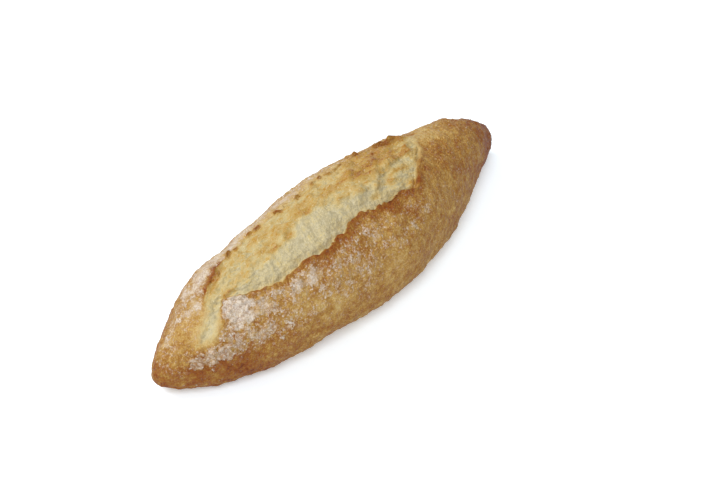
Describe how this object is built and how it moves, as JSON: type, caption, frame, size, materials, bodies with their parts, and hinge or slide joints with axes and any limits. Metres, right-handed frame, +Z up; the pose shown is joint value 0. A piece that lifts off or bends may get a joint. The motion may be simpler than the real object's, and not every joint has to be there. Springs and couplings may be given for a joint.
{
  "type": "mini baguette",
  "caption": "Small spindle-shaped bread loaf with blunt tips, a flat underside and one long open slash with a raised, browned lip along its top.",
  "frame": {"origin": "middle of the loaf's footprint, on the surface that it lies on", "axes": "+X along the loaf towards the tip that the slash ends further from, +Y to the back, away from the raised lip, +Z up"},
  "size_m": [0.162, 0.0508, 0.0367],
  "materials": {
    "crust": "matte baked crust, golden brown and finely wrinkled, dusted with flour, with pale torn crumb in the slash"
  },
  "bodies": {
    "root": {"loaf": "crust"}
  },
  "joints": []
}
